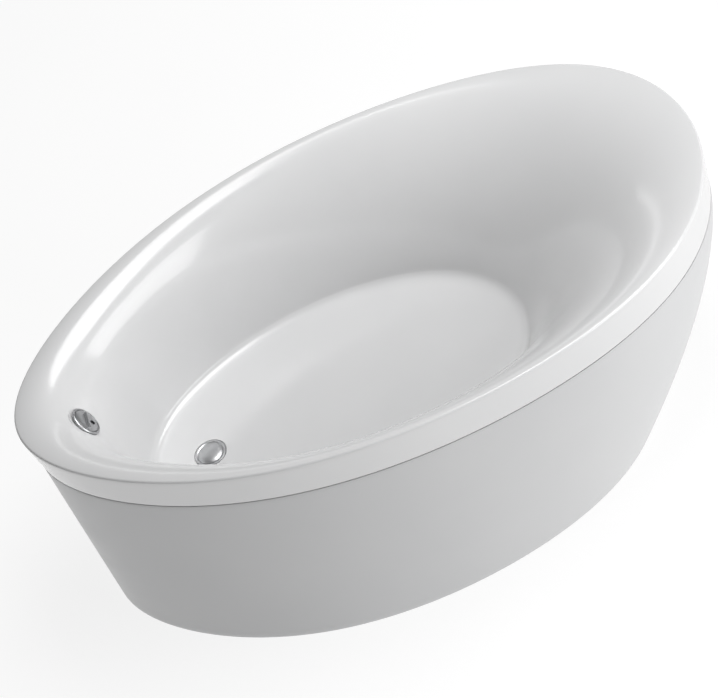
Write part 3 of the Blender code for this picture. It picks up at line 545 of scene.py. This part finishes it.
section = (
    (SEAM_TOP - GAP, STRIP_SET_BACK),
    (SEAM_TOP - GAP, STRIP_SET_BACK + STRIP_DEPTH),
    (SEAM_BOTTOM + STRIP_CLEAR, STRIP_SET_BACK + STRIP_DEPTH),
    (SEAM_BOTTOM + STRIP_CLEAR, STRIP_SET_BACK),
)
rings = [ring_of(lambda angle: behind_lip(angle, height, depth)) for height, depth in section]
strip = add_piece("seam_seal", skin_between("seam_seal", rings, closed=True), rubber, "tub")
settle(strip)
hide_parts("seam_strip")
print("seam strip faces:", len(strip.data.polygons))

# %% [markdown]
# ## The waste cover and its plug
# Both are turned on a lathe, so each is a half profile swept round by Screw. A small bevel on every corner
# catches the light as a fine ring. The plug is a shallow dome that stands a little over its cover.


# %% Turn the waste cover and plug
def turned(name, profile, material, body, where, closed=True, ease=0.0003):
    """A lathe-turned piece from (radius, height) points that run down the outer side."""
    mesh = bpy.data.meshes.new(name)
    edges = [(i, i + 1) for i in range(len(profile) - 1)]
    if closed:
        edges.append((len(profile) - 1, 0))
    mesh.from_pydata([(radius, 0, height) for radius, height in profile], edges, [])
    piece = bpy.data.objects.new(name, mesh)
    bpy.context.scene.collection.objects.link(piece)
    mesh.materials.append(material)
    lathe = piece.modifiers.new("lathe", "SCREW")
    lathe.steps = 96
    lathe.render_steps = 96
    lathe.use_merge_vertices = True
    lathe.merge_threshold = 0.00001
    soft = piece.modifiers.new("eased_edges", "BEVEL")
    soft.width = ease
    soft.segments = 3
    soft.limit_method = "ANGLE"
    soft.angle_limit = radians(28)
    settle(piece, 30)
    piece.matrix_world = where
    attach(piece, body)
    return piece


FLANGE_RADIUS = 0.041
NECK_RADIUS = 0.0245
NECK_BORE = 0.0215
PLUG_RADIUS = 0.033
under = -SEAT_DEPTH + 2 * GAP + 0.001
flange_profile = [
    (FLANGE_RADIUS - 0.0008, 0.0012),
    (FLANGE_RADIUS, 0.0004),
    (FLANGE_RADIUS, under),
    (NECK_RADIUS, under),
    (NECK_RADIUS, -0.022),
    (NECK_BORE, -0.022),
    (NECK_BORE, -0.0016),
    (PLUG_RADIUS - 0.003, -0.0014),
    (PLUG_RADIUS + 0.002, 0.0006),
    (PLUG_RADIUS + 0.003, 0.0012),
]
cover = turned("waste_cover_ring", flange_profile, chrome, "tub", WASTE)
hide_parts("waste_flange")
print("waste cover:", round(2000 * FLANGE_RADIUS), "mm across")

# %% [markdown]
# ### The plug
# The plug is one turned dome with a boss below that the lifter's stem pushes. It is closed on its axis,
# so the profile stays open at both ends and the ends meet the axis.

# %% Turn the plug
PLUG_BOSS = 0.006
plug_profile = [
    (0.0, 0.0062),
    (0.006, 0.00612),
    (0.012, 0.0058),
    (0.018, 0.0052),
    (0.024, 0.0042),
    (0.0285, 0.0031),
    (PLUG_RADIUS - 0.002, 0.0020),
    (PLUG_RADIUS, 0.0008),
    (PLUG_RADIUS, 0.0003),
    (PLUG_RADIUS - 0.001, -0.0001),
    (PLUG_RADIUS - 0.003, -0.0005),
    (PLUG_RADIUS - 0.004, 0.0010),
    (PLUG_BOSS, 0.0010),
    (PLUG_BOSS, -PLUG_BOSS),
    (0.0, -PLUG_BOSS),
]
plug = turned("waste_plug_cap", plug_profile, chrome, "plug", WASTE, closed=False, ease=0.0002)
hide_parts("waste_plug")
print("plug stands", 6.2, "mm over the floor")

# %% [markdown]
# ## The overflow cover and its dial
# The dial turns inside a raised ring and lets water in through a round slot beside its grip.
# The grip is a low bar across the dial, and Boolean joins it before the slot is cut.

# %% Turn the overflow ring and dial
under = 2 * GAP + 0.0015
bezel_profile = [
    (FLANGE_RADIUS - 0.002, 0.0085),
    (FLANGE_RADIUS, 0.0065),
    (FLANGE_RADIUS, under),
    (NECK_RADIUS, under),
    (NECK_RADIUS, -0.020),
    (NECK_BORE, -0.020),
    (NECK_BORE, 0.0032),
    (0.030, 0.0036),
    (0.0348, 0.0050),
    (0.0362, 0.0085),
]
bezel = turned("overflow_ring", bezel_profile, chrome, "tub", OVERFLOW, ease=0.0004)
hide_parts("overflow_bezel")

STUB_RADIUS = 0.007
dial_profile = [
    (0.0, 0.0100),
    (0.020, 0.0100),
    (0.0255, 0.0097),
    (0.029, 0.0092),
    (PLUG_RADIUS, 0.0078),
    (PLUG_RADIUS, 0.0064),
    (0.031, 0.0058),
    (STUB_RADIUS, 0.0058),
    (STUB_RADIUS, -0.004),
    (0.0, -0.004),
]
dial = turned("overflow_dial", dial_profile, chrome, "knob", OVERFLOW, closed=False)
bm = bmesh.new()
bmesh.ops.create_cube(bm, size=1.0)
bmesh.ops.scale(bm, verts=bm.verts, vec=(0.008, 0.050, 0.010))
bmesh.ops.bevel(bm, geom=bm.edges[:], offset=0.0016, segments=4, affect="EDGES")
grip_mesh = bpy.data.meshes.new("grip_tool")
bm.to_mesh(grip_mesh)
bm.free()
grip = bpy.data.objects.new("grip_tool", grip_mesh)
bpy.context.scene.collection.objects.link(grip)
grip.matrix_world = OVERFLOW @ Matrix.Translation((0, 0, 0.011))
slot_tool = tool_cylinder("slot_tool", 0.007, -0.002, 0.02, OVERFLOW @ Matrix.Translation((0.0165, 0, 0)))
combine(dial, grip, "UNION")
combine(dial, slot_tool, "DIFFERENCE")
settle(dial, 30)
for tool in (grip, slot_tool):
    bpy.data.objects.remove(tool, do_unlink=True)
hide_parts("overflow_knob")
print("dial faces:", len(dial.data.polygons))

# %% [markdown]
# ## The hidden fittings
# The rails, feet, trap and pipes keep the shapes of the frame. Their facets are smoothed for the eye by
# geometry nodes, which merge the corners and shade across every shallow edge, so the shapes stay as they are.

# %% Smooth and finish the carried-over pieces
WELD_DISTANCE = 0.00001
STEEP_EDGE = radians(32)
smoother = bpy.data.node_groups.new("shade_by_angle", "GeometryNodeTree")
smoother.interface.new_socket("Geometry", in_out="INPUT", socket_type="NodeSocketGeometry")
smoother.interface.new_socket("Geometry", in_out="OUTPUT", socket_type="NodeSocketGeometry")
taken = smoother.nodes.new("NodeGroupInput")
given = smoother.nodes.new("NodeGroupOutput")
weld = smoother.nodes.new("GeometryNodeMergeByDistance")
weld.inputs["Distance"].default_value = WELD_DISTANCE
plain = smoother.nodes.new("GeometryNodeRemoveAttribute")
plain.inputs["Name"].default_value = "custom_normal"
faces = smoother.nodes.new("GeometryNodeSetShadeSmooth")
edges = smoother.nodes.new("GeometryNodeSetShadeSmooth")
edges.domain = "EDGE"
edges.inputs["Shade Smooth"].default_value = False
edge_angle = smoother.nodes.new("GeometryNodeInputMeshEdgeAngle")
steep = smoother.nodes.new("FunctionNodeCompare")
steep.inputs["B"].default_value = STEEP_EDGE
smoother.links.new(taken.outputs[0], weld.inputs["Geometry"])
smoother.links.new(weld.outputs["Geometry"], plain.inputs["Geometry"])
smoother.links.new(plain.outputs["Geometry"], faces.inputs["Geometry"])
smoother.links.new(faces.outputs["Geometry"], edges.inputs["Geometry"])
smoother.links.new(edge_angle.outputs["Unsigned Angle"], steep.inputs["A"])
smoother.links.new(steep.outputs["Result"], edges.inputs["Selection"])
smoother.links.new(edges.outputs["Geometry"], given.inputs[0])

finish_of_slot = {
    "gloss_white_acrylic": basin_white,
    "satin_white_acrylic": shaded_skirt_white,
    "chrome": chrome,
    "zinc_plated_steel": zinc,
    "black_rubber": rubber,
    "grey_plastic": fitting_grey,
    "white_plastic": fitting_white,
    "chipboard": chipboard,
    "brass": brass,
}
slot_of_node = {entry["node"]: entry["material_slot"] for entry in frame["record"]["subparts"]}
replaced = {
    "tub_shell",
    "skirt_panel",
    "seam_strip",
    "waste_flange",
    "waste_plug",
    "overflow_bezel",
    "overflow_knob",
}
for name, node in nodes.items():
    finish = finish_of_slot[slot_of_node[name]]
    for material_slot in node.material_slots:
        material_slot.material = finish
    if name not in replaced:
        shade = node.modifiers.new("shade_by_angle", "NODES")
        shade.node_group = smoother
print("carried-over pieces:", len(nodes) - len(replaced))

# %% [markdown]
# ## The studio
# A white object is drawn by where the light isn't. The floor is bright, the air to the left is dim, and
# broad panels stand to the right and overhead, so that the skirt darkens to the left and the rim keeps a
# long streak. Area lights make those panels, and their size sets how soft the streaks are.

# %% Floor, air and lights
FLOOR_LIGHT = 0.84
FLOOR_REACH = 30
floor_mesh = bpy.data.meshes.new("studio_floor")
floor_corners = [(FLOOR_REACH * x, FLOOR_REACH * y, 0) for x, y in ((-1, -1), (1, -1), (1, 1), (-1, 1))]
floor_mesh.from_pydata(floor_corners, [], [(0, 1, 2, 3)])
studio_floor = bpy.data.objects.new("studio_floor", floor_mesh)
bpy.context.scene.collection.objects.link(studio_floor)
paper, shader = new_finish("studio_paper")
two_tone(paper, shader, uneven(paper, 0.7, 0, 1), (0.20, 0.20, 0.20), (0.22, 0.22, 0.22))
gloss(paper, shader, uneven(paper, 5, 0.9, 1.0))
shader.inputs["Specular IOR Level"].default_value = 0.0
shader.inputs["Emission Color"].default_value = (1, 1, 1, 1)
shader.inputs["Emission Strength"].default_value = FLOOR_LIGHT
floor_mesh.materials.append(paper)

AIR_BRIGHTNESS = 0.05
air = bpy.data.worlds.new("studio_air")
air.use_nodes = True
air.node_tree.nodes["Background"].inputs["Color"].default_value = (1, 1, 1, 1)
air.node_tree.nodes["Background"].inputs["Strength"].default_value = AIR_BRIGHTNESS
bpy.context.scene.world = air
bpy.context.scene.view_settings.view_transform = "Standard"


def light_panel(name, place, aim, width, height, power):
    panel = bpy.data.lights.new(name, "AREA")
    panel.shape = "RECTANGLE"
    panel.size = width
    panel.size_y = height
    panel.energy = power
    lamp = bpy.data.objects.new(name, panel)
    bpy.context.scene.collection.objects.link(lamp)
    lamp.location = place
    lamp.rotation_euler = (Vector(aim) - Vector(place)).to_track_quat("-Z", "Y").to_euler()
    return lamp


light_panel("right_panel", (3.4, -2.8, 2.1), (0.3, 0, 0.4), 3.4, 2.8, 128)
light_panel("overhead_panel", (1.0, 0.2, 4.0), (0.1, 0, 0.4), 2.6, 2.0, 112)
light_panel("back_panel", (0.2, 4.0, 2.6), (0, 0, 0.6), 3.6, 0.35, 8)
